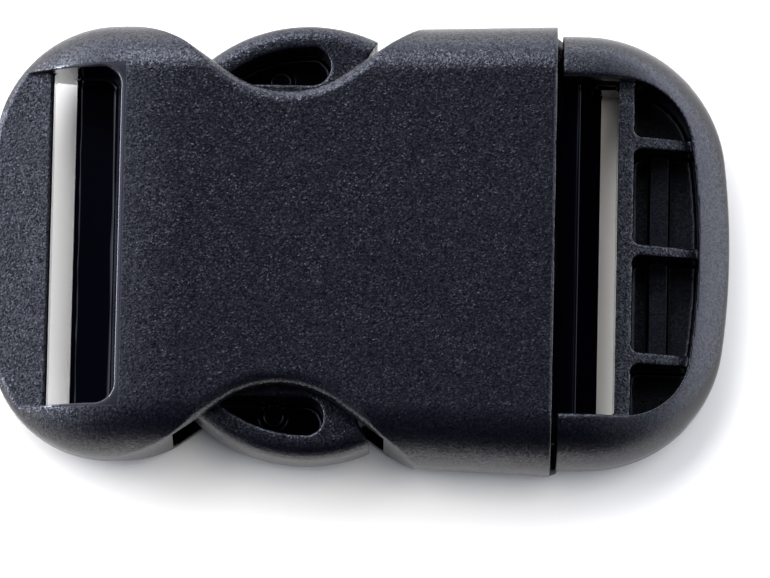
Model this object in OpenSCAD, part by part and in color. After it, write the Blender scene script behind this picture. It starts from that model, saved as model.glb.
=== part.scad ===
// Side release buckle for flat webbing, fastened.
// The female half is on the left and the male half is pushed into it from the right.
// X runs along the pull, Y across the webbing, Z up from the surface that it rests on.

/* [Whole buckle] */
// Length over both halves when fastened
total_len = 57.6; // [57.2:0.1:58.4]
// Thickness of the female half
height = 9.6; // [9.2:0.1:10.4]
// Width of the webbing that both halves take
webbing_w = 25; // [22:0.5:25.5]
// Room in the slots beyond the width of the webbing
webbing_room = 1.6; // [1:0.1:1.8]
// Running gap between the two halves
clearance = 0.2; // [0.15:0.05:0.3]

/* [Female half] */
// Distance of the mouth's upper edge from the middle of the buckle
mouth_x = 15; // [14.6:0.1:15.2]
// Half of the width at the mouth
mouth_half = 17.7; // [17.4:0.1:17.9]
// Half of the width where the mouth ring starts
ring_half = 17.3; // [17:0.1:17.4]
// How far the lower lip of the mouth reaches past the upper edge
lip = 0.6; // [0.5:0.1:0.8]
// Radius of the two round lobes beside the webbing bar
lobe_r = 9.4; // [9:0.1:9.8]
// Half of the width over the lobes
lobe_half = 17.1; // [16.8:0.1:17.3]
// Half of the width at the waist
waist_half = 11.6; // [11.2:0.1:12.2]
// Radius at the bottom of the waist
waist_r = 7.75; // [7:0.25:9]
// Angle between the sides of the waist and the pull
waist_slope = 35; // [33:1:37]
// Bevel along the edges of the waist
waist_bevel = 1.3; // [0.8:0.1:1.5]
// Radius of the rounded long sides
side_r = 4.2; // [3.8:0.1:4.4]
// Thickness of the upper and lower wall
wall = 1.7; // [1.5:0.1:1.8]
// Thickness of the side walls at the mouth
side_wall = 2.2; // [2:0.1:2.4]
// Distance from the left end to the end of the pocket for the arms
pocket_end = 12.4; // [12:0.1:12.6]
// Length of the webbing bar along the pull
bar_len = 4.5; // [4.2:0.1:4.8]
// Height of the webbing bar's top at the slot
bar_top = 5.3; // [4.8:0.1:5.6]
// Free gap that the webbing passes through beside the bar
socket_gap = 1.7; // [1.5:0.1:2]
// Length of the slot at the upper face
slot_open = 5.3; // [5:0.1:5.5]
// Radius of the slot's two inner corners
slot_corner_r = 1.6; // [1:0.1:2]

/* [Male half] */
// Thickness of the tail
tail_h = 8.4; // [8:0.1:8.8]
// Half of the width over the rails
rail_half = 17.1; // [16.8:0.1:17.3]
// Radius of the tail's two corners
corner_r = 10.9; // [10.6:0.1:11.2]
// Radius of the bowed end of the tail
end_bow_r = 60; // [54:1:66]
// Width of the rim along the bowed end
rim_w = 2.5; // [2.2:0.1:2.8]
// Radius of the two corners inside the rim
rim_corner_r = 5.4; // [5:0.1:6]
// Depth of the ribbed bar below the rim
recess_depth = 1.2; // [0.9:0.1:1.4]
// Distance of the ramp's nose from the middle of the buckle
nose_x = 18.6; // [18.4:0.1:18.7]
// Free gap that the webbing passes through behind the ramp
tail_gap = 1.3; // [1.2:0.1:1.4]
// Width of the plain strip in front of the pockets
land_w = 1.25; // [1:0.05:1.5]
// Thickness of the ribs between the pockets
rib_w = 0.9; // [0.8:0.1:1.2]
// Spacing of the ribs
rib_pitch = 8.5; // [8:0.1:8.8]
// Thickness of the spring arms across the pull
arm_w = 2.4; // [2.2:0.1:2.6]
// Height of the spring arms
arm_h = 5.4; // [4.8:0.1:5.4]
// How far the heads stand out from the middle when fastened
head_half = 17.2; // [16.9:0.1:17.3]
// Radius of the heads' outer faces
head_r = 12.4; // [12:0.1:13]
// Width of the centre guide
guide_w = 4.4; // [4:0.1:5]

/* [Hidden] */
$fn = 48;
over = 1;
left_x = -total_len / 2;
right_x = total_len / 2;
slot_half = (webbing_w + webbing_room) / 2;
arc_steps = 12;

// Points of a circular arc around c from angle a0 to a1
function arc(c, r, a0, a1, steps = arc_steps) =
    [for (i = [0:steps]) let (a = a0 + (a1 - a0) * i / steps) [c[0] + r * cos(a), c[1] + r * sin(a)]];

// The same arc without its two ends
function inner_arc(c, r, a0, a1, steps = arc_steps) =
    let (points = arc(c, r, a0, a1, steps)) [for (i = [1:steps - 1]) points[i]];

// The same points on the other side of the long axis, in reverse order
function mirrored(points) = [for (i = [len(points) - 1:-1:0]) [points[i][0], -points[i][1]]];

// Plan of the female half: lobe, sloping side, waist, sloping side, ring
lobe_x = left_x + lobe_r;
lobe_y = lobe_half - lobe_r;
lobe_end = [lobe_x + lobe_r * sin(waist_slope), lobe_y + lobe_r * cos(waist_slope)];
waist_cy = waist_half + waist_r;
waist_side_y = waist_cy - waist_r * cos(waist_slope);
waist_side_x = lobe_end[0] + (lobe_end[1] - waist_side_y) / tan(waist_slope);
waist_x = waist_side_x + waist_r * sin(waist_slope);
ring_x = waist_x + waist_r * sin(waist_slope) + (ring_half - waist_side_y) / tan(waist_slope);
flare = atan((mouth_half - ring_half) / (mouth_x - ring_x));
lip_x = mouth_x + lip;
socket_side = concat(
    arc([lobe_x, lobe_y], lobe_r, 180, 90 - waist_slope, 2 * arc_steps),
    arc([waist_x, waist_cy], waist_r, 270 - waist_slope, 270 + waist_slope, 2 * arc_steps),
    [[ring_x, ring_half], [lip_x, mouth_half + lip * tan(flare)]]);

// Side view of the female half: it falls away towards the webbing bar
top_fall_x = -14;
bottom_rise_x = -20;
tip_top = 4.2;
tip_bottom = 2.6;
function fall_r(run, drop) = (run * run + drop * drop) / (2 * drop);
top_r = fall_r(top_fall_x - left_x, height - tip_top);
bottom_r = fall_r(bottom_rise_x - left_x, tip_bottom);
top_sweep = asin((top_fall_x - left_x) / top_r);
bottom_sweep = asin((bottom_rise_x - left_x) / bottom_r);
socket_profile = concat(
    [[lip_x, 0]],
    arc([bottom_rise_x, bottom_r], bottom_r, 270, 270 - bottom_sweep),
    arc([top_fall_x, height - top_r], top_r, 90 + top_sweep, 90),
    [[lip_x, height]]);

// The slanted end of the mouth, from the lower lip up to the upper edge
lip_top = 2.2;
mouth_top = 3;
function mouth_cut(gap) = [
    [lip_x + gap, -over],
    [lip_x + gap, lip_top],
    [mouth_x + gap, mouth_top],
    [mouth_x + gap, height + over]];

// Webbing slot of the female half in side view, with a sloping bar and a low shelf across from it
slot_x = left_x + bar_len + slot_open;
bar_x = left_x + bar_len;
bar_tip_top = 3.8;
shelf_x = bar_x + socket_gap;
shelf_nose_z = 2.5;
shelf_nose_run = 0.4;
shelf_z = 3.1;
slot_wall_foot = 0.6;
slot_wall_z = 3.4;
slot_lip = 0.8;
function fall_z(x) = height - top_r + sqrt(pow(top_r, 2) - pow(top_fall_x - x, 2));
slot_edge_z = fall_z(slot_x);

// Inside of the female half
cave_half = mouth_half - side_wall;
cave_x = left_x + pocket_end;

// Tail of the male half
corner_cy = rail_half - corner_r;
bow_x = right_x - end_bow_r;
corner_cx = bow_x + sqrt(pow(end_bow_r - corner_r, 2) - pow(corner_cy, 2));
bow_angle = atan(corner_cy / (corner_cx - bow_x));
land_x = nose_x + tail_gap;
pocket_x = land_x + land_w;
rail_gap = 0.45;
tail_low = 0;
tail_tip_top = 4.2;
tail_tip_bottom = 2.2;
tail_fall_x = 15.5;
tail_rise_x = 22;
tail_side_r = 3.6;
tail_bow_steps = 8;
tail_side = concat(
    [[mouth_x, rail_half]],
    arc([corner_cx, corner_cy], corner_r, 90, bow_angle, 2 * arc_steps));
tail_bow = inner_arc([bow_x, 0], end_bow_r, bow_angle, -bow_angle, tail_bow_steps);
tail_top_r = fall_r(right_x - tail_fall_x, tail_h - tail_tip_top);
tail_bottom_r = fall_r(right_x - tail_rise_x, tail_tip_bottom);
tail_top_sweep = asin((right_x - tail_fall_x) / tail_top_r);
tail_bottom_sweep = asin((right_x - tail_rise_x) / tail_bottom_r);

// Ramp of the male half in side view, from under the mouth over a ridge down to the nose
ramp_start_x = mouth_x - 0.6;
ramp_low_x = mouth_x - 0.4;
ramp_low_z = 4.8;
ridge_x = 16.9;
ridge_z = 5.6;
ridge_foot_x = 17.25;
ridge_foot_z = 3.8;
nose_high_z = 2.6;
nose_low_z = 1.4;
ramp = [
    // x, z
    [ramp_start_x, height],
    [ramp_low_x, ramp_low_z],
    [ridge_x, ridge_z],
    [ridge_foot_x, ridge_foot_z],
    [nose_x, nose_high_z]];

// Base, arms and guide inside the female half
base_x = 12.6;
base_half = cave_half - clearance;
base_low = wall + clearance;
base_high = height - wall - clearance;
arm_low = (height - arm_h) / 2;
arm_out = base_half;
catch_x = 0.9;
catch_in_x = 0;
catch_in_y = arm_out - 1;
head_apex_x = -4.2;
head_cy = head_half - head_r;
head_end_angle = 135;
head_tip_x = cave_x + 0.9;
head_tip_y = 12.4;
head_in_y = 11.3;
head_chamfer = 0.6;
head_neck_x = -1.5;
neck_len = 2.4;
head_pocket_right = -2.7;
head_pocket_in = 12.4;
head_pocket_rim = 1.9;
head_pocket_r = 1.5;
head_floor = 1.3;
guide_x = -13.5;

// Plan of something that is the same on both sides of the long axis
module both_sides_plan(side, end = []) {
    polygon(concat(side, end, mirrored(side)));
}

// A solid of the given side view, as long across as the buckle is wide and more
module side_view(points) {
    rotate([90, 0, 0])
        linear_extrude(height = 4 * mouth_half, center = true)
            polygon(points);
}

// One long rounded side: everything within half of the axis, from low to high
function side_section(half, low, high, r) = concat(
    [[-2 * half, low]],
    arc([half - r, low + r], r, 270, 360),
    arc([half - r, high - r], r, 0, 90),
    [[-2 * half, high]]);

// A rounded bar along X, whose +Y side turns outwards by an angle about the given x
module rounded_side(x0, x1, half, low, high, r, turn = 0, turn_x = 0) {
    translate([turn_x, half, 0])
        rotate(turn)
            translate([x0 - turn_x, -half, 0])
                rotate([90, 0, 90])
                    linear_extrude(height = x1 - x0)
                        polygon(side_section(half, low, high, r));
}

module rounded_bar(x0, x1, half, low, high, r, turn = 0, turn_x = 0) {
    intersection() {
        rounded_side(x0, x1, half, low, high, r, turn, turn_x);
        mirror([0, 1, 0])
            rounded_side(x0, x1, half, low, high, r, turn, turn_x);
    }
}

// Bevel along one waist: a cone round the bottom of it and a prism along each slope.
// The prisms start a little way inside the cone and lie a hair outside it, so the two cross cleanly.
module waist_bevels() {
    reach = 14;
    lap = 0.4;
    hair = 0.02;
    deep = waist_bevel + over;
    section = [[-deep, over], [over, -deep], [over, over]];
    translate([waist_x, waist_cy, height - deep])
        cylinder(h = deep + over, r1 = waist_r - over, r2 = waist_r + deep);
    for (side = [-1, 1])
        translate([waist_x, waist_cy, height])
            rotate(side * waist_slope)
                translate([-side * lap, -waist_r + hair, 0])
                    rotate([90, 0, side * 90])
                        linear_extrude(height = reach)
                            polygon([for (p = section) [side * p[0], p[1]]]);
}

module socket_shape() {
    intersection() {
        linear_extrude(height = height)
            both_sides_plan(socket_side);
        side_view(socket_profile);
        union() {
            rounded_bar(left_x - over, waist_x + over, lobe_half, 0, height, side_r);
            rounded_bar(waist_x - over, lip_x + over, ring_half, 0, height, side_r, flare, ring_x);
        }
    }
}

module socket_slot() {
    intersection() {
        side_view([
            [left_x - over, bar_tip_top],
            [bar_x, bar_top],
            [bar_x, -over],
            [shelf_x, -over],
            [shelf_x, shelf_nose_z],
            [shelf_x + shelf_nose_run, shelf_z],
            [slot_x - slot_wall_foot, slot_wall_z],
            [slot_x, slot_edge_z - slot_lip],
            [slot_x, height + over],
            [left_x - over, height + over]]);
        translate([0, 0, -2 * over])
            linear_extrude(height = height + 4 * over)
                both_sides_plan(concat(
                    [[left_x - 2 * over, slot_half]],
                    arc([slot_x - slot_corner_r, slot_half - slot_corner_r], slot_corner_r, 90, 0)));
    }
}

// Female half: shell, mouth ring, side windows, webbing bar and slot
module socket() {
    color("#22242b")
        difference() {
            socket_shape();
            translate([cave_x, -cave_half, wall])
                cube([lip_x - cave_x + over, 2 * cave_half, height - 2 * wall]);
            side_view(concat(mouth_cut(0), [[lip_x + 2 * over, height + over], [lip_x + 2 * over, -over]]));
            socket_slot();
            for (flip = [0, 1], under = [0, 1])
                mirror([0, flip, 0])
                    translate([0, 0, height / 2])
                        mirror([0, 0, under])
                            translate([0, 0, -height / 2])
                                waist_bevels();
        }
}

// Side view of the tail, lowered for the bar that lies inside the rim
function tail_top(drop, x0) = concat(
    [[x0, tail_low - over], [right_x + over, tail_low - over]],
    [[right_x + over, tail_tip_top - drop]],
    arc([tail_fall_x, tail_h - tail_top_r - drop], tail_top_r, 90 - tail_top_sweep, 90),
    [[x0, tail_h - drop]]);

module tail_block() {
    intersection() {
        linear_extrude(height = tail_h)
            both_sides_plan(tail_side, tail_bow);
        side_view(tail_top(0, mouth_x - over));
        side_view(concat(
            [[mouth_x - over, tail_h + over], [mouth_x - over, tail_low]],
            arc([tail_rise_x, tail_bottom_r], tail_bottom_r, 270, 270 + tail_bottom_sweep),
            [[right_x + over, tail_tip_bottom], [right_x + over, tail_h + over]]));
        rounded_bar(mouth_x - over, right_x + over, rail_half, tail_low, tail_h, tail_side_r);
    }
}

// Inner outline of the rim, which the recess and the pockets follow
rim_bow_r = end_bow_r - rim_w;
rim_cy = slot_half - rim_corner_r;
rim_cx = bow_x + sqrt(pow(rim_bow_r - rim_corner_r, 2) - pow(rim_cy, 2));
rim_angle = atan(rim_cy / (rim_cx - bow_x));
rim_side = concat(
    [[mouth_x - over, slot_half]],
    arc([rim_cx, rim_cy], rim_corner_r, 90, rim_angle));
rim_bow = inner_arc([bow_x, 0], rim_bow_r, rim_angle, -rim_angle, tail_bow_steps);

// The four pockets behind the land, open at the top and as deep as the bar
module tail_pockets() {
    pocket_floor = 1.6;
    ledge = 0.25;
    inner = [for (p = rim_side) [p[0] - ledge, p[1] - ledge]];
    inner_bow = [for (p = rim_bow) [p[0] - ledge, p[1]]];
    ribs = [-rib_pitch, 0, rib_pitch];
    translate([0, 0, pocket_floor])
        linear_extrude(height = tail_h)
            difference() {
                intersection() {
                    both_sides_plan(inner, inner_bow);
                    translate([pocket_x, -slot_half])
                        square([right_x, 2 * slot_half]);
                }
                for (y = ribs)
                    translate([pocket_x - over, y - rib_w / 2])
                        square([right_x, rib_w]);
            }
}

// Everything of the male half that shows outside the mouth
module tail() {
    difference() {
        tail_block();
        // Step down from the rim to the ribbed bar
        difference() {
            linear_extrude(height = tail_h + over)
                both_sides_plan(rim_side, rim_bow);
            side_view(tail_top(recess_depth, mouth_x - 2 * over));
        }
        // Slot and ramp
        intersection() {
            side_view(concat(ramp, [[nose_x, -over], [land_x, -over], [land_x, height]]));
            translate([mouth_x - over, -slot_half, -2 * over])
                cube([2 * slot_half, 2 * slot_half, height + 4 * over]);
        }
        tail_pockets();
        // Clear of the slanted mouth
        side_view(concat(
            mouth_cut(rail_gap),
            [[mouth_x - 3 * over, height + over], [mouth_x - 3 * over, -over]]));
    }
}

// Outer face of an arm's head, from the catch round to the tip
head_side = concat(
    [[catch_in_x, catch_in_y]],
    arc([head_apex_x, head_cy], head_r, acos((catch_x - head_apex_x) / head_r), head_end_angle),
    [[head_tip_x, head_tip_y]]);

module arm_plan() {
    polygon(concat(
        [[base_x, arm_out - arm_w], [base_x, arm_out]],
        head_side,
        [[head_tip_x, head_in_y + head_chamfer], [head_tip_x + head_chamfer, head_in_y]],
        [[head_neck_x, head_in_y], [head_neck_x + neck_len, arm_out - arm_w]]));
}

module head_pocket_plan() {
    outer_r = head_r - head_pocket_rim;
    end_x = head_pocket_right - head_pocket_r;
    polygon(concat(
        arc([end_x, head_pocket_in + head_pocket_r], head_pocket_r, 270, 450),
        arc([head_apex_x, head_cy], outer_r, 90, 180 - asin((head_pocket_in - head_cy) / outer_r))));
}

// A spring arm with its head, which is pocketed from above
module arm() {
    difference() {
        translate([0, 0, arm_low])
            linear_extrude(height = arm_h)
                arm_plan();
        translate([0, 0, arm_low + head_floor])
            linear_extrude(height = arm_h)
                head_pocket_plan();
    }
}

module base() {
    intersection() {
        translate([base_x - over, -base_half, base_low])
            cube([nose_x - base_x + over, 2 * base_half, base_high - base_low]);
        side_view(concat(
            ramp,
            [[nose_x, nose_low_z], [base_x - over, base_low - over], [base_x - over, height]]));
    }
}

// Male half: spring arms with their heads, centre guide, base with ramp, rails and ribbed tail
module insert() {
    color("#22242b")
        union() {
            tail();
            base();
            for (flip = [0, 1])
                mirror([0, flip, 0])
                    arm();
            translate([guide_x, -guide_w / 2, arm_low])
                cube([base_x - guide_x + over, guide_w, arm_h]);
        }
}

socket();
insert();
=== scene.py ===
"""Side release buckle for 25 mm webbing: two black acetal mouldings, fastened, lying on a pale surface."""
import math

import bpy
from mathutils import Matrix, Vector


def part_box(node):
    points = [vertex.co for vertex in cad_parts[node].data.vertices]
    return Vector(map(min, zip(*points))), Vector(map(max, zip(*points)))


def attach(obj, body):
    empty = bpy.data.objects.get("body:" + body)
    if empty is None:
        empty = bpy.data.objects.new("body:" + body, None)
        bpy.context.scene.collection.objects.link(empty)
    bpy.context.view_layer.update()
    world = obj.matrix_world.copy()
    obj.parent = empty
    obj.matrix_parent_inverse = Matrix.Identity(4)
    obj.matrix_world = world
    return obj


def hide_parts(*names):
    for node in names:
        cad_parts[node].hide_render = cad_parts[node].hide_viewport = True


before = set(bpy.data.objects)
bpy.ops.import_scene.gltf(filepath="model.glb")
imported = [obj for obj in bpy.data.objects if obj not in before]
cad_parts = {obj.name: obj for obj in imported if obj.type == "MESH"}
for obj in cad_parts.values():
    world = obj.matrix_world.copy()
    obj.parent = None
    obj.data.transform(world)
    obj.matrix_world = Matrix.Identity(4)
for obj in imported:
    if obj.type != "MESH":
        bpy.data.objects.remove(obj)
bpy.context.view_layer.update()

# The pieces are drawn in millimetres, X along the pull, Y across it and Z up from the surface,
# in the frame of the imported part, and are brought to metres when they are finished.
MM = 0.001
(LEFT, _, _), (LIP, _, TOP) = (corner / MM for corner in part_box("socket"))
_, (RIGHT, _, _) = (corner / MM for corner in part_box("insert"))
TAIL_TOP = 8.4
SLOT_HALF = 13.3  # half the length of both webbing slots

# Where each surface leaves the level, and the height that it has at the thin end
TOP_FALLS, BAR_TOP = -14.0, 4.2
UNDER_RISES, BAR_UNDER = -20.0, 2.6
TAIL_FALLS, RIM_TOP = 15.5, 4.2
TAIL_RISES, RIM_UNDER = 22.0, 2.2

# Female half: centre of its round corner, outer ends of its sides, and the limits of its hollows
LOBE = (-19.4, 7.7)
RING_SIDE = [(4.45, 17.3), (22, 17.95), (22, 0)]
BAR_END, SLOT_END = -24.3, -19.0
WALL = 1.7
CAVE_END, CAVE_HALF = -16.4, 15.5
MOUTH, MOUTH_TOP, LIP_TOP = 15.0, 3.0, 2.2  # the mouth slants from its upper edge out to the lower lip

# Male half: the slope down to its slot in side view, the plain strip past the slot, the arcs that
# follow the rim's inner edge round the tail, and the arms with the centre of their heads' outer arc
NOSE = [(14.6, 4.8), (16.9, 5.6), (17.25, 3.8), (18.6, 2.6)]
SLOT_START, STRIP = 18.6, 19.9
TAIL_BOW = (-31.2, 0)
INNER_CORNER = 20.298
INNER_ARCS = [(INNER_CORNER, 7.9, -81.279), (*TAIL_BOW, -8.721)]
STEP_DOWN = 1.2
ARM_LOW, ARM_HIGH = 2.1, 7.5
HEAD = (-4.2, 4.8)

ARC_STEP = 3.0  # most degrees between two points of an arc
ARC_RUN = 0.8  # most millimetres between them
OVER = 3.0  # how far a cutting shape stands out of what it cuts
THROUGH = 20.0  # enough to pass through the buckle
FAR = 30.0  # outside the buckle on every side
PRESS_STEP = 0.6  # spacing of the sections that follow a falling surface
VOXEL = 0.12
MOST_TRIANGLES = 190000  # for each half


def deselect():
    bpy.ops.object.select_all(action="DESELECT")


def work_on(thing):
    deselect()
    thing.select_set(True)
    bpy.context.view_layer.objects.active = thing


def pick(thing, mode, wanted):
    """Selects the vertices or faces of the mesh for which wanted() is true, and leaves it in edit mode."""
    work_on(thing)
    bpy.ops.object.mode_set(mode="EDIT")
    bpy.ops.mesh.select_mode(type=mode)
    bpy.ops.mesh.select_all(action="DESELECT")
    bpy.ops.object.mode_set(mode="OBJECT")
    for item in thing.data.vertices if mode == "VERT" else thing.data.polygons:
        item.select = wanted(item)
    bpy.ops.object.mode_set(mode="EDIT")


def apply(thing, kind, **settings):
    work_on(thing)
    modifier = thing.modifiers.new(kind, kind)
    for key, value in settings.items():
        setattr(modifier, key, value)
    bpy.ops.object.modifier_apply(modifier=modifier.name)


def drawn(name, start, moves, low, high, side_view=False, mirrored=False):
    """Draws a closed outline, fills it and extrudes it from low to high.

    A plan is drawn in X and Y and rises along Z; a side view is drawn in X and Z and runs along Y.
    A move is (x, y) for a straight line or (centre x, centre y, degrees) for an arc, turning left above 0.
    A mirrored plan starts and ends on the long axis and is drawn for one side only."""
    def place(u, v, w):
        return Vector((u, w, v) if side_view else (u, v, w))

    deselect()
    bpy.ops.mesh.primitive_plane_add(size=1, location=place(*start, low))
    thing = bpy.context.object
    thing.name = name
    bpy.ops.object.transform_apply(location=True)
    bpy.ops.object.mode_set(mode="EDIT")
    bpy.ops.mesh.select_all(action="SELECT")
    bpy.ops.mesh.merge(type="CENTER")
    u, v = start
    for move in moves:
        here = place(u, v, low)
        bpy.ops.object.mode_set(mode="OBJECT")
        points = thing.data.vertices
        last = min(points, key=lambda p: (round((p.co - here).length, 4), -p.index)).index
        for point in points:
            point.select = point.index == last
        for edge in thing.data.edges:
            edge.select = False
        bpy.ops.object.mode_set(mode="EDIT")
        bpy.ops.mesh.select_mode(type="VERT")
        if len(move) == 2:
            step = place(*move, low) - here
            bpy.ops.mesh.extrude_region_move(TRANSFORM_OT_translate={"value": step})
            u, v = move
        else:
            cu, cv, degrees = move
            angle = math.radians(degrees)
            run = abs(angle) * math.hypot(u - cu, v - cv)
            # Spin turns right for a positive angle when it runs without a window
            bpy.ops.mesh.spin(
                steps=math.ceil(max(2, abs(degrees) / ARC_STEP, run / ARC_RUN)),
                angle=angle if side_view else -angle,
                center=place(cu, cv, low), axis=(0, 1, 0) if side_view else (0, 0, 1))
            du, dv = u - cu, v - cv
            u = cu + du * math.cos(angle) - dv * math.sin(angle)
            v = cv + du * math.sin(angle) + dv * math.cos(angle)
    bpy.ops.object.mode_set(mode="OBJECT")
    # The ends of a mirrored plan are brought exactly onto the long axis
    pick(thing, "VERT", lambda p: mirrored and abs(p.co.y) < 0.02)
    if mirrored:
        bpy.ops.transform.resize(value=(1, 0, 1), center_override=(0, 0, 0))
    bpy.ops.mesh.select_all(action="SELECT")
    bpy.ops.mesh.remove_doubles(threshold=0.005)
    bpy.ops.mesh.edge_face_add()
    bpy.ops.mesh.extrude_region_move(TRANSFORM_OT_translate={"value": place(0, 0, high - low)})
    bpy.ops.mesh.select_all(action="SELECT")
    bpy.ops.mesh.normals_make_consistent(inside=False)
    bpy.ops.object.mode_set(mode="OBJECT")
    if mirrored:
        # Without its face on the axis, the drawn side joins up with its mirror image
        pick(thing, "FACE", lambda f: abs(f.normal.y) > 0.99 and abs(f.center.y) < 0.001)
        bpy.ops.mesh.delete(type="FACE")
        bpy.ops.object.mode_set(mode="OBJECT")
        apply(thing, "MIRROR", use_axis=(False, True, False), merge_threshold=0.005)
    return thing


def box(name, low, high):
    (x0, y0, z0), (x1, y1, z1) = low, high
    return drawn(name, (x0, y0), [(x1, y0), (x1, y1), (x0, y1)], z0, z1)


def across(name, start, moves, half=THROUGH):
    """A side view that runs as far to the south of the long axis as to the north."""
    return drawn(name, start, moves, -half, half, side_view=True)


def end_faces(thing, up):
    """Picks the flat top or underside of an extruded plan."""
    level = (max if up else min)(v.co.z for v in thing.data.vertices)
    pick(thing, "FACE", lambda f: abs(f.center.z - level) < 0.001 and abs(f.normal.z) > 0.99)


def quarter_turn(radius):
    """The angles of a quarter round, in steps that suit its radius, as pairs."""
    steps = max(4, math.ceil(4 * radius))
    turns = [math.pi / 2 * i / steps for i in range(steps + 1)]
    return zip(turns, turns[1:])


def rounded_over(name, start, plan, low, high, radius):
    """Draws a mirrored plan that is closed above and below with a quarter round of the radius."""
    thing = drawn(name, start, plan, low + radius, high - radius, mirrored=True)
    for up in (True, False):
        end_faces(thing, up)
        for a, b in quarter_turn(radius):
            bpy.ops.mesh.inset(
                thickness=radius * (math.cos(a) - math.cos(b)), depth=radius * (math.sin(b) - math.sin(a)))
        bpy.ops.object.mode_set(mode="OBJECT")
    return thing


def flared(thing, radius, depth):
    """Narrows the underside of a plan drawn the radius too wide along a quarter round, and runs it down."""
    end_faces(thing, False)
    for a, b in quarter_turn(radius):
        bpy.ops.mesh.inset(
            thickness=radius * (math.sin(b) - math.sin(a)), depth=radius * (math.cos(a) - math.cos(b)))
    bpy.ops.mesh.extrude_region_move(TRANSFORM_OT_translate={"value": (0, 0, -depth + radius)})
    bpy.ops.object.mode_set(mode="OBJECT")
    return thing


def follow(thing, x0, x1, height_at):
    """Sections the mesh along the pull from x0 to x1, and moves each point to height_at(x, z)."""
    work_on(thing)
    bpy.ops.object.mode_set(mode="EDIT")
    for i in range(int((x1 - x0) / PRESS_STEP) + 1):
        bpy.ops.mesh.select_all(action="SELECT")
        bpy.ops.mesh.bisect(plane_co=(x0 + i * PRESS_STEP, 0, 0), plane_no=(1, 0, 0))
    bpy.ops.mesh.select_all(action="SELECT")
    bpy.ops.mesh.quads_convert_to_tris()
    bpy.ops.object.mode_set(mode="OBJECT")
    for point in thing.data.vertices:
        point.co.z = height_at(point.co.x, point.co.z)


def combined(thing, operation, *others):
    for other in others:
        apply(thing, "BOOLEAN", object=other, operation=operation, solver="EXACT")
        bpy.data.objects.remove(other)
    return thing


def finished(thing, grain_at):
    """Melts the booleans into one skin, softens its edges as a mould does, and brings it to metres."""
    apply(thing, "REMESH", mode="VOXEL", voxel_size=VOXEL, adaptivity=0.0)
    apply(thing, "SMOOTH", factor=0.5, iterations=2)
    triangles = sum(len(face.vertices) - 2 for face in thing.data.polygons)
    apply(thing, "DECIMATE", ratio=min(1.0, MOST_TRIANGLES / triangles))
    work_on(thing)
    bpy.ops.object.shade_smooth()
    apply(thing, "WEIGHTED_NORMAL", weight=80)
    grain = thing.data.attributes.new("grain", "FLOAT", "POINT")
    normals = thing.data.vertex_normals
    for point in thing.data.vertices:
        grain.data[point.index].value = grain_at(point.co, normals[point.index].vector)
    work_on(thing)
    bpy.ops.transform.resize(value=(MM, MM, MM), center_override=(0, 0, 0))
    bpy.ops.object.transform_apply(location=True, rotation=True, scale=True)
    return thing


# Heights of the two mouldings: level, then falling or rising along an arc to a thin end

def fall(run, drop):
    """Drop of an arc that starts level and has fallen by drop after run, at a distance along it."""
    radius = (run * run + drop * drop) / (2 * drop)
    return lambda along: radius - math.sqrt(radius ** 2 - min(max(along, 0.0), run) ** 2)


bar_top_fall = fall(TOP_FALLS - LEFT, TOP - BAR_TOP)
bar_under_rise = fall(UNDER_RISES - LEFT, BAR_UNDER)
tail_top_fall = fall(RIGHT - TAIL_FALLS, TAIL_TOP - RIM_TOP)
tail_under_rise = fall(RIGHT - TAIL_RISES, RIM_UNDER)


def socket_top(x):
    return TOP - bar_top_fall(TOP_FALLS - x)


def socket_under(x):
    return bar_under_rise(UNDER_RISES - x)


def tail_top(x):
    return TAIL_TOP - tail_top_fall(x - TAIL_FALLS)


def tail_under(x):
    return tail_under_rise(x - TAIL_RISES)


def eased(value, low, high):
    """0 below low, 1 above high, and a smooth step between them."""
    share = min(max((value - low) / (high - low), 0.0), 1.0)
    return share * share * (3 - 2 * share)


def not_facing_west(normal):
    """0 where the skin looks to the west, as the far walls of both slots do, and 1 elsewhere."""
    return eased(normal.x, -0.25, -0.05)


# How deep the grain is at a point of the skin: 0 is polished, 1 the tool's usual grain. The limits
# stand a little outside the walls, so that a wall gets the finish of the hollow that it belongs to.

def socket_grain(place, normal):
    """The outer skin is grained, and the slot, the cave and the end of the mouth are polished."""
    x, side, z = place.x, abs(place.y), place.z
    if z < socket_under(x) + 0.3:
        return 1.0
    if x > CAVE_END - 0.1 and WALL - 0.1 < z < TOP - WALL + 0.1 and side < CAVE_HALF + 0.1:
        return 0.0
    if BAR_END - 0.1 < x < SLOT_END + 0.4 and side < SLOT_HALF + 0.3:
        return min(eased(z - socket_top(x), -0.35, -0.1), not_facing_west(normal))
    if x < BAR_END - 0.1:
        return 1.7
    return 1 - eased(normal.x, 0.5, 0.9)


def insert_grain(place, normal):
    """Heads, ribs and plain strip are grained, and the slot and the pockets are polished.

    The rim's grain eases off from the mouth to the tail, and its inner edge is polished."""
    x, side, z = place.x, abs(place.y), place.z
    if x < 12:
        from_centre = math.hypot(x - HEAD[0], side - HEAD[1])
        return max(eased(z, ARM_HIGH - 1.5, ARM_HIGH - 0.5), eased(from_centre, 11.6, 12.0))
    if x > MOUTH + 0.8 and z < tail_under(x) + 0.3:
        return 1.0
    if side < SLOT_HALF - 0.1 and x < STRIP - 0.1:
        return 0.0
    if z < tail_top(x) - 0.8 and side < SLOT_HALF + 0.1:
        return eased(normal.z, 0.6, 0.95) * (1.8 if z > 4 else 0.4)
    edge = not_facing_west(normal) if x > 19 and z > 4 else 1
    return (1 - 0.5 * eased(x, 16.0, 21.5)) * edge


def beside_mouth(shift, end):
    """Cutting shape from the slanting end of the female half, or shift to the east of it, as far as end."""
    return across(
        "mouth", (LIP + shift, -OVER),
        [(LIP + shift, LIP_TOP), (MOUTH + shift, MOUTH_TOP), (MOUTH + shift, TOP + OVER), (end, TOP + OVER),
         (end, -OVER)], half=FAR)


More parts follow.
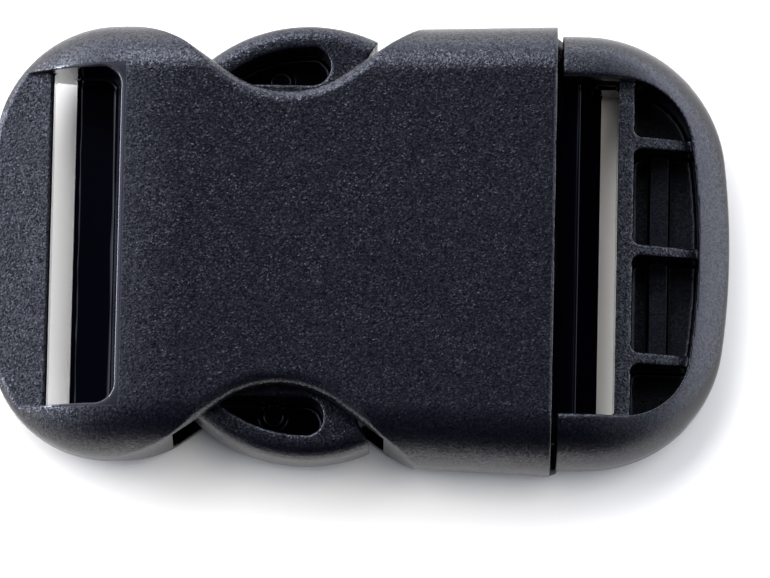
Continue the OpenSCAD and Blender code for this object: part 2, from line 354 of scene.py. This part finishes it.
def female_half():
    # Round corner, waist in which an arm's head shows, and the ring's side with its far end past the mouth
    half = rounded_over(
        "female_half", (LEFT, 0),
        [(LEFT, LOBE[1]), (*LOBE, -125), (-10.583, 13.002), (-6.138, 19.35, 70), *RING_SIDE], 0, TOP, 0.9)
    # The large round of the long sides runs out beside the webbing bar
    combined(half, "INTERSECT", rounded_over(
        "block", (-34.7, 0), [(-27.54, 12.4), (*LOBE, -60), *RING_SIDE], 0, TOP, 4.2))
    follow(half, LEFT, TOP_FALLS, lambda x, z: socket_under(x) + z / TOP * (socket_top(x) - socket_under(x)))

    # Slot: a rounded opening, out of which the webbing bar and a shelf are left standing
    edge, corner, west = 0.2, 1.6, -40
    start, side = SLOT_END - corner, SLOT_HALF - corner
    slot = drawn(
        "slot", (west, 0),
        [(west, SLOT_HALF + edge), (start, SLOT_HALF + edge), (start, side, -90), (SLOT_END + edge, 0)],
        0, OVER, mirrored=True)
    flared(slot, edge, THROUGH)
    follow(slot, LEFT, SLOT_END + 0.6, lambda x, z: socket_top(x) + z)
    bar = across(
        "bar", (west, -THROUGH),
        [(BAR_END, -THROUGH), (BAR_END, 4.9), (BAR_END - 0.4, 4.9, 75), (LEFT - 1, 3.8), (west, 3.8)])
    shelf = across(
        "shelf", (-22.6, -THROUGH),
        [(-22.6, 2.6), (-22.2, 3.1), (-19.4, 3.0), (SLOT_END, 8.25), (-10, 8.25), (-10, -THROUGH)])
    combined(slot, "DIFFERENCE", bar, shelf)

    corner = 1.0
    cave = drawn(
        "cave", (CAVE_END, 0),
        [(CAVE_END, CAVE_HALF - corner), (CAVE_END + corner, CAVE_HALF - corner, -90), (FAR, CAVE_HALF),
         (FAR, 0)], WALL, TOP - WALL, mirrored=True)
    combined(half, "DIFFERENCE", slot, cave, beside_mouth(0, FAR))
    return finished(half, socket_grain)


def arm_with_head():
    """The northern spring arm; its head has an open pocket with a rounded rim and a low boss in it."""
    arm = drawn(
        "arm", (14, 12.9),
        [(14, 15.3), (5, 14.0), (-0.15, 14.0), (1.1, 16.2), (*HEAD, 69.93), (-15.5, 12.4), (-15.5, 11.9),
         (-14.9, 11.3), (-1.5, 11.3), (0.9, 12.2)], ARM_LOW, ARM_HIGH)
    combined(arm, "INTERSECT", rounded_over(
        "round", (20, 0), [(20, 16.0), (1.12, 16.0), (*HEAD, 115.4), (-16.6, 0)], ARM_LOW, ARM_HIGH, 1.2))

    edge, floor_height = 0.2, 2.8
    south, north = 12.35 - edge, 15.3 + edge
    pocket = drawn(
        "head_pocket", (-11.5, south),
        [(HEAD[0], south), (HEAD[0], 13.85, 180), (HEAD[0], north), (*HEAD, 43.0)], ARM_HIGH, ARM_HIGH + OVER)
    flared(pocket, edge, ARM_HIGH - floor_height)
    boss = drawn("boss", (-5.7, 13.3), [(-6.6, 13.3, 180), (-6.6, 13.3, 180)], 2, floor_height + 0.9)
    combined(pocket, "DIFFERENCE", boss)
    return combined(arm, "DIFFERENCE", pocket)


def tail_pocket(south, north, has_strip):
    """Cutting shape for a pocket between two ribs, down to the floor or the raised strip on it."""
    edge, corner = 0.15, 0.75
    low, high, left = south - edge, north + edge, 21.15 - edge
    plan = [(FAR, low), (FAR, high), (left + corner, high), (left + corner, high - corner, 90),
            (left, low + corner), (left + corner, low + corner, 90)]
    pocket = flared(drawn("pocket", (left + corner, low), plan, 0, OVER), edge, THROUGH)
    follow(pocket, 20.4, RIGHT, lambda x, z: tail_top(x) - STEP_DOWN + z)
    side = SLOT_HALF - 0.04
    combined(pocket, "INTERSECT", drawn(
        "wall", (5, 0), [(5, side), (INNER_CORNER, side), *INNER_ARCS], -FAR, TOP + OVER, mirrored=True))
    combined(pocket, "DIFFERENCE", box("floor", (20, low - 1, -25), (32, high + 1, 1.6)))
    if has_strip:
        combined(pocket, "DIFFERENCE", box("strip", (22.5, low - 1, 0), (24.0, high + 1, 2.8)))
    return pocket


def male_half():
    rail, corner = 17.1, 17.507
    half = rounded_over(
        "male_half", (10, 0), [(10, rail), (corner, rail), (corner, 6.2, -82.746), (*TAIL_BOW, -7.254)],
        0, TAIL_TOP, 3.6)
    follow(
        half, TAIL_FALLS, RIGHT - 0.1,
        lambda x, z: tail_under(x) + z / TAIL_TOP * (tail_top(x) - tail_under(x)))

    # Step down from the rim, with the rim's inner edge rounded
    edge = 0.3
    plan = [(5, SLOT_HALF + edge), (INNER_CORNER, SLOT_HALF + edge), *INNER_ARCS]
    step = flared(drawn("step", (5, 0), plan, 0, OVER, mirrored=True), edge, STEP_DOWN)
    follow(step, TAIL_FALLS, RIGHT - 1, lambda x, z: tail_top(x) + z)

    # Slot, with a small sill left standing at each end
    slot = across(
        "slot", (14.4, TOP), [*NOSE, (SLOT_START, -OVER), (STRIP, -OVER), (STRIP, TOP)], half=SLOT_HALF)
    combined(half, "DIFFERENCE", step, slot)
    for low, high in ((12.9, 14), (-14, -12.9)):
        combined(half, "UNION", box("sill", (18, low, 1.5), (20.5, high, 5)))

    for south, north, has_strip in (
            (9.05, 14, False), (0.48, 8.05, True), (-8.05, -0.42, True), (-14, -9.02, False)):
        combined(half, "DIFFERENCE", tail_pocket(south, north, has_strip))

    # What lies inside the female half: base, two spring arms and guide
    base = box("base", (12.6, -15.25, 1.9), (SLOT_START, 15.25, 7.7))
    combined(base, "DIFFERENCE", across("slope", (12.4, TOP), [*NOSE, (20, 2.6), (20, TOP)]))
    combined(half, "DIFFERENCE", beside_mouth(0.45, 5))
    arm = arm_with_head()
    apply(arm, "MIRROR", use_axis=(False, True, False), use_mirror_merge=False)
    combined(half, "UNION", base, arm, box("guide", (-13.5, -2.2, ARM_LOW), (14, 2.2, ARM_HIGH)))
    return finished(half, insert_grain)


def linear(code):
    """sRGB hex to a linear colour."""
    parts = [int(code[i:i + 2], 16) / 255 for i in (1, 3, 5)]
    return [c / 12.92 if c <= 0.04045 else ((c + 0.055) / 1.055) ** 2.4 for c in parts] + [1.0]


def add(tree, kind, settings=(), **links):
    """Adds a node. Each keyword is an input, by its name with _ for a space or by its place as inN,
    and is given a value or an output to join."""
    made = tree.nodes.new("ShaderNode" + kind)
    for key, value in dict(settings).items():
        setattr(made, key, value)
    for key, value in links.items():
        by_place = key.startswith("in") and key[2:].isdigit()
        socket = made.inputs[int(key[2:]) if by_place else key.replace("_", " ")]
        if isinstance(value, bpy.types.NodeSocket):
            tree.links.new(value, socket)
        else:
            socket.default_value = value
    return made


def fresh_material(name):
    material = bpy.data.materials.new(name)
    material.use_nodes = True
    material.node_tree.nodes.clear()
    return material, material.node_tree


# Scales of the grain, in repeats for a metre. The real pits are 0.05 to 0.1 mm wide, too fine to show
# at this distance, so they are drawn 0.13 mm wide.
PITS = 7.6 / MM
SWELLS = 6.0 / MM
CLOUDS = 0.42 / MM  # areas about 2.4 mm wide in which the grain is deeper or shallower
SWELL_DEPTH = 0.03 * MM


# Acetal, black with a blue cast, moulded against a spark-eroded tool: each pit of the grain faces
# its own way and sparkles or stays dark, and the polished places keep an even semi-gloss.
def spark_eroded_acetal():
    material, tree = fresh_material("spark_eroded_acetal")
    place = add(tree, "TexCoord").outputs["Object"]
    grained = add(tree, "Attribute", {"attribute_name": "grain"}).outputs["Fac"]
    pits = add(tree, "TexVoronoi", Vector=place, Scale=PITS).outputs["Color"]
    cloud = add(tree, "TexNoise", Vector=place, Scale=CLOUDS, Detail=3.0, Roughness=0.6).outputs["Fac"]

    # Each pit leans its own way, over a low swell of the skin
    patchy = add(
        tree, "MapRange", Value=cloud, From_Min=0.3, From_Max=0.7, To_Min=0.1, To_Max=0.26).outputs[0]
    lean = add(tree, "Math", {"operation": "MULTIPLY"}, in0=grained, in1=patchy).outputs[0]
    aside = add(tree, "VectorMath", {"operation": "SUBTRACT"}, in0=pits, in1=(0.5, 0.5, 0.5)).outputs[0]
    tilt = add(tree, "VectorMath", {"operation": "SCALE"}, in0=aside, Scale=lean).outputs[0]
    swell = add(tree, "TexNoise", Vector=place, Scale=SWELLS, Detail=2.0, Roughness=0.5).outputs["Fac"]
    relief = add(tree, "Math", {"operation": "MULTIPLY"}, in0=swell, in1=grained).outputs[0]
    skin = add(tree, "Bump", Strength=1.0, Distance=SWELL_DEPTH, Height=relief).outputs["Normal"]
    facing = add(tree, "VectorMath", {"operation": "ADD"}, in0=skin, in1=tilt).outputs[0]
    normal = add(tree, "VectorMath", {"operation": "NORMALIZE"}, in0=facing).outputs[0]

    # A tone that drifts with the clouds, and a shine that differs from pit to pit
    tone = add(tree, "MixRGB", Fac=cloud, Color1=linear("#05050c"), Color2=linear("#080711")).outputs[0]
    spark = add(tree, "SeparateXYZ", in0=pits).outputs["Z"]
    shine = add(tree, "MapRange", Value=spark, To_Min=0.2, To_Max=0.8).outputs[0]
    level = add(tree, "Mix", Factor=grained, in2=0.5, in3=shine).outputs[0]
    rough = add(tree, "MapRange", Value=grained, From_Max=0.3, To_Min=0.12, To_Max=0.3).outputs[0]
    shader = add(
        tree, "BsdfPrincipled", Base_Color=tone, Roughness=rough, Specular_IOR_Level=level, IOR=1.48,
        Normal=normal)
    add(tree, "OutputMaterial", Surface=shader.outputs[0])
    return material


# Matt white paper: an even, faintly warm white without a sheen, on which the soft shadow shows
def white_paper():
    material, tree = fresh_material("white_paper")
    shader = add(tree, "BsdfPrincipled", Base_Color=linear("#f6f4ef"), Roughness=0.9, IOR=1.3)
    add(tree, "OutputMaterial", Surface=shader.outputs[0])
    return material


halves = [female_half(), male_half()]
acetal = spark_eroded_acetal()
for half, node in zip(halves, ("socket", "insert")):
    half.data.materials.clear()
    half.data.materials.append(acetal)
    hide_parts(node)
    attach(half, "root")

deselect()
bpy.ops.mesh.primitive_plane_add(size=3)
floor = bpy.context.object
floor.name = "floor"
floor.data.materials.append(white_paper())

# Camera: from the south, ten degrees off the vertical, turned a little in the picture
WIDTH, HEIGHT = 770, 578
BUCKLE = (361.5, 247.6)  # the buckle's middle in the picture, from the upper left corner
PIXEL = MM / 12.8
DISTANCE = 0.8
SENSOR = 36.0
camera_data = bpy.data.cameras.new("camera")
camera_data.sensor_width = SENSOR
camera_data.lens = SENSOR * DISTANCE / (WIDTH * PIXEL)
camera_data.clip_end = 10
camera = bpy.data.objects.new("camera", camera_data)
bpy.context.scene.collection.objects.link(camera)
turn = Matrix.Rotation(math.radians(10), 4, "X") @ Matrix.Rotation(math.radians(1.2), 4, "Z")
offset = Vector(((WIDTH / 2 - BUCKLE[0]) * PIXEL, (BUCKLE[1] - HEIGHT / 2) * PIXEL, DISTANCE))
middle = Vector((0, 0, TOP / 2 * MM))
camera.matrix_world = Matrix.Translation(middle + turn @ offset) @ turn
bpy.context.scene.camera = camera
bpy.context.scene.view_settings.view_transform = "Standard"


def area_light(name, place, size, power, tint, lit):
    """A soft light that looks at the middle of the buckle and lights only the given objects."""
    data = bpy.data.lights.new(name, "AREA")
    data.shape = "RECTANGLE"
    data.size, data.size_y = size
    data.energy = power
    data.color = tint
    light = bpy.data.objects.new(name, data)
    bpy.context.scene.collection.objects.link(light)
    light.location = place
    light.rotation_euler = (-Vector(place)).to_track_quat("-Z", "Y").to_euler()
    only = bpy.data.collections.new("lit_by_" + name)
    for thing in lit:
        only.objects.link(thing)
    light.light_linking.receiver_collection = only


# The halves have a key from the north, which brings out the grain of the northern rounds, and a low
# strip from the west along the edges. The floor has two lights of its own, so that it stays near
# white and the soft shadow falls to the south and east.
COOL, WARM = (0.76, 0.82, 1), (1, 0.98, 0.95)
area_light("key", (-0.11, 0.31, 0.34), (0.17, 0.16), 1.0, COOL, halves)
area_light("low_strip", (-0.48, 0.09, 0.13), (0.4, 0.06), 2.6, COOL, halves)
area_light("overhead", (0.22, 0.02, 0.9), (0.5, 0.5), 3.1, WARM, [floor])
area_light("window", (-0.56, 0.56, 0.6), (1.4, 1.2), 24, WARM, [floor])

# The studio is bright to the north, to both sides and near the floor, dim overhead and dark to the
# south. Each part of it: the axis that it follows, from where to where, and its glow at both ends.
SKY = {
    "north": ("Y", 0.2, 1.0, 0.0, 1.8),
    "east": ("X", 0.25, 0.9, 0.0, 2.0),
    "west": ("X", -0.2, -0.8, 0.0, 2.4),
    "low": ("Z", 0.4, 0.0, 0.0, 3.6),
    "behind": ("Y", -0.6, 0.1, 0.12, 1.0)}
world = bpy.data.worlds.new("studio")
bpy.context.scene.world = world
world.use_nodes = True
sky = world.node_tree
sky.nodes.clear()
toward = add(sky, "SeparateXYZ", in0=add(sky, "TexCoord").outputs["Generated"]).outputs
glow = {}
for part, (axis, start, end, dim, bright) in SKY.items():
    ramp = add(
        sky, "MapRange", Value=toward[axis], From_Min=start, From_Max=end, To_Min=dim, To_Max=bright)
    glow[part] = ramp.outputs[0]
flanks = add(sky, "Math", {"operation": "ADD"}, in0=glow["west"], in1=glow["low"]).outputs[0]
sides = add(sky, "Math", {"operation": "ADD"}, in0=glow["east"], in1=flanks).outputs[0]
beside = add(sky, "Math", {"operation": "MULTIPLY"}, in0=sides, in1=glow["behind"]).outputs[0]
strength = add(sky, "Math", {"operation": "ADD"}, in0=glow["north"], in1=beside).outputs[0]
studio = add(sky, "Background", Color=(*COOL, 1), Strength=strength)
add(sky, "OutputWorld", Surface=studio.outputs[0])
